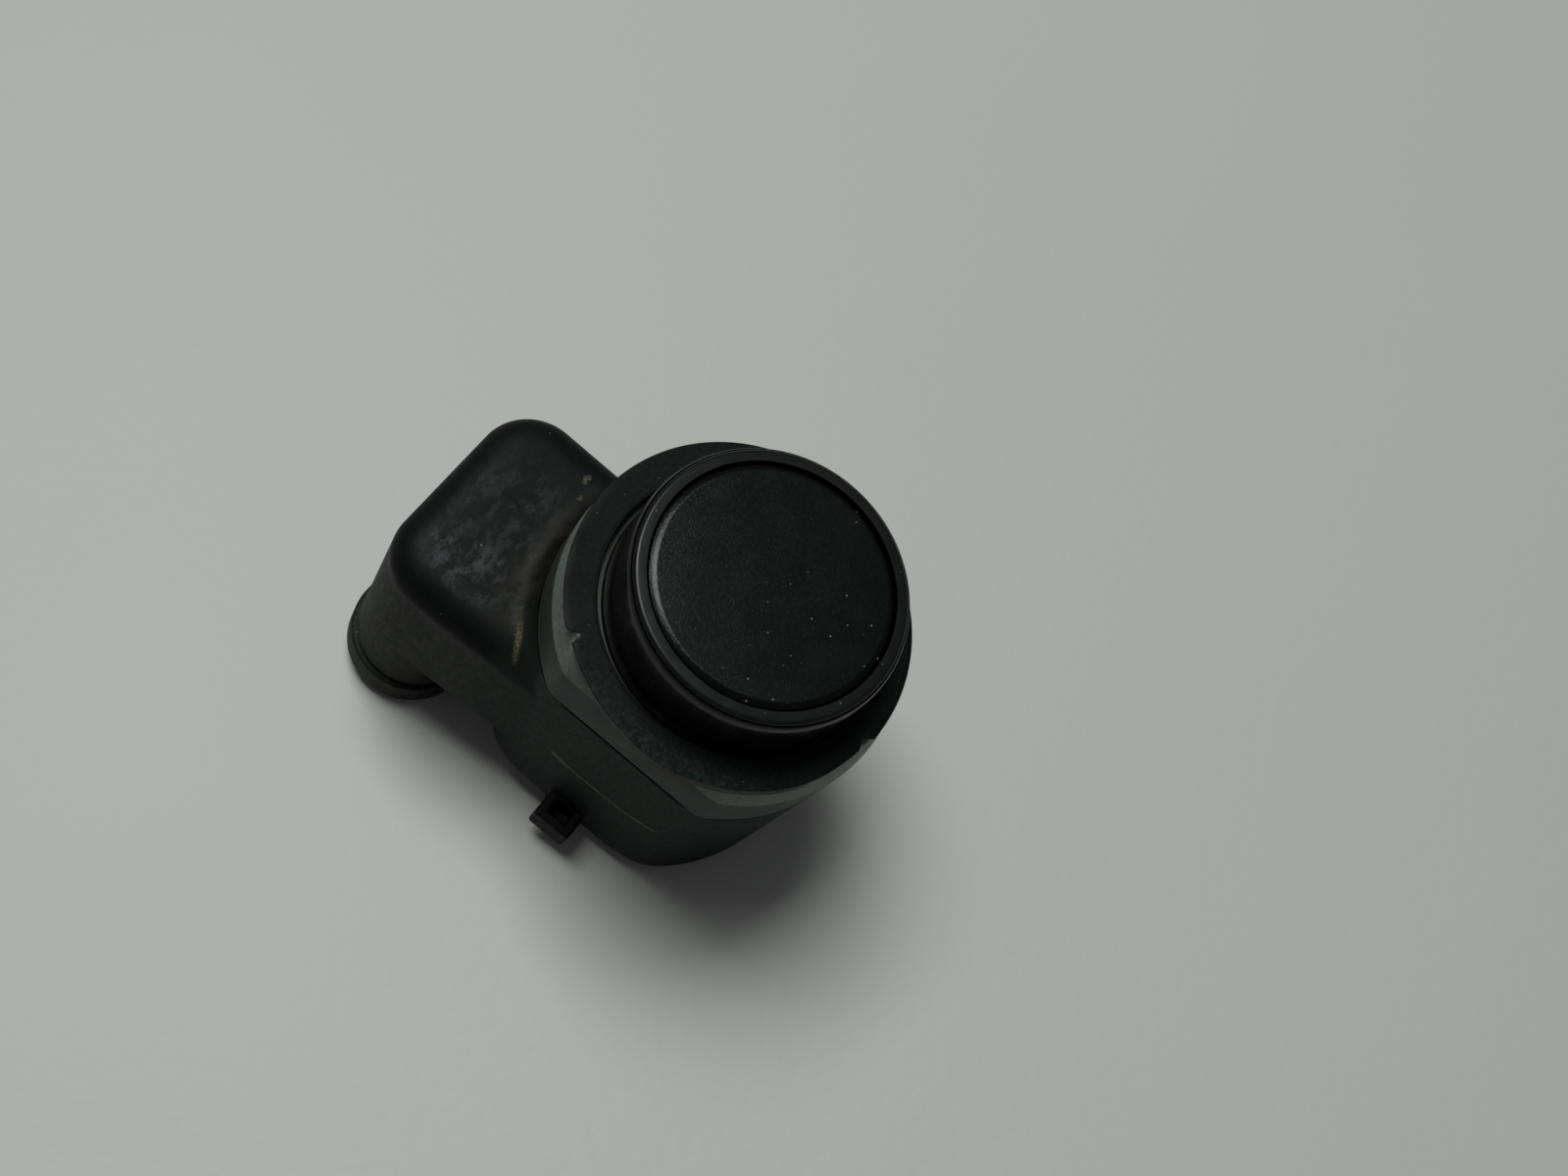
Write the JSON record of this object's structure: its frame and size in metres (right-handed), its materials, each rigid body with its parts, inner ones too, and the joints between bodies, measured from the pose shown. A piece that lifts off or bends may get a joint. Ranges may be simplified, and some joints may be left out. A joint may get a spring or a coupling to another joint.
{
  "type": "parking sensor",
  "caption": "Flush-mount ultrasonic parking sensor with round matt black head, seal disc, flatted barrel and side arm with a backward-facing connector socket.",
  "frame": {"origin": "On the head's axis, in the plane of the seal disc's front face.", "axes": "+Z is the sensing direction along the head's axis; -X is toward the side arm and its connector; -Y is the outward side of the barrel's scratched flat."},
  "size_m": [0.0325, 0.024, 0.0322],
  "materials": {
    "housing_plastic": "dusty scuffed black",
    "cap_plastic": "dusty scuffed black",
    "seal_rubber": "matt, dusty",
    "ring_rubber": "matt",
    "membrane_paint": "satin black, fine grain",
    "ceramic": "fired ceramic",
    "copper": "bare copper",
    "foam": "open foam",
    "backfill": "soft silicone",
    "carrier_plastic": "moulded",
    "pin_metal": "tinned",
    "board": "solder resist",
    "chip": "moulded",
    "ferrite": "sintered",
    "capacitor": "coated",
    "potting": "cast resin"
  },
  "bodies": {
    "root": {"housing": "housing_plastic", "front_cap": "cap_plastic", "seal_disc": "seal_rubber", "decoupling_ring": "ring_rubber", "transducer_cup": "membrane_paint", "piezo_disc": "ceramic", "piezo_lead_a": "copper", "piezo_lead_b": "copper", "damping_foam": "foam", "cup_backfill": "backfill", "pin_carrier": "carrier_plastic", "transducer_pin_a": "pin_metal", "transducer_pin_b": "pin_metal", "circuit_board": "board", "control_chip": "chip", "transformer_core": "ferrite", "transformer_winding": "copper", "capacitor_a": "capacitor", "capacitor_b": "capacitor", "connector_pin_a": "pin_metal", "connector_pin_b": "pin_metal", "connector_pin_c": "pin_metal", "rear_potting": "potting"}
  },
  "joints": []
}
